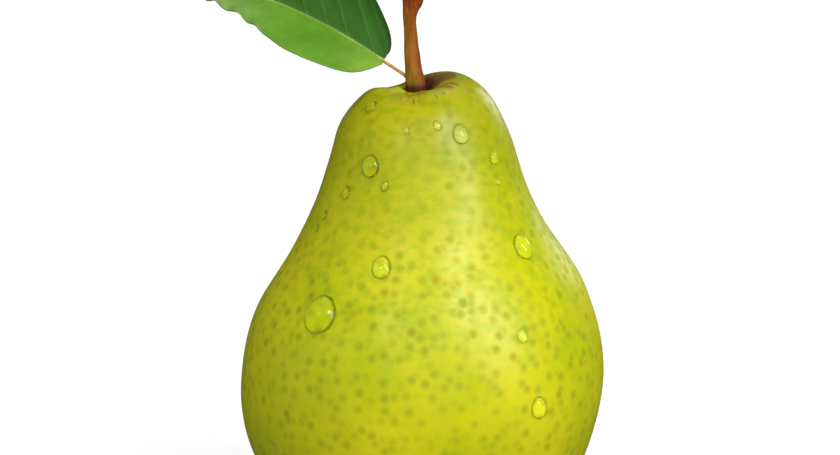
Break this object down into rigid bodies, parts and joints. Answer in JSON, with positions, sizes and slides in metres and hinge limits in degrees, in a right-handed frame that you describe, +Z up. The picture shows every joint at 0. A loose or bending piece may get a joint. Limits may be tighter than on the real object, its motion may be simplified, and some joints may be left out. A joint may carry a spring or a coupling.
{
  "type": "pear with stem and leaf",
  "caption": "Fresh whole pear standing on its base, with a woody stem, a folded leaf on a thin stalk and a dried calyx in the hollow underneath.",
  "frame": {"origin": "on the surface that the pear stands on, under the middle of the whole object's box, so the fruit's own axis is 9 mm towards +X", "axes": "+Z up along the fruit towards the stem, +X to the right with the leaf reaching out to -X, -Y the front"},
  "size_m": [0.0904, 0.0724, 0.1236],
  "materials": {
    "fruit_skin": "satin",
    "stem_bark": "matte",
    "leaf_green": "satin",
    "dried_sepal": "matte"
  },
  "bodies": {
    "root": {"fruit": "fruit_skin", "stem": "stem_bark", "leaf": "leaf_green", "calyx": "dried_sepal"}
  },
  "joints": []
}
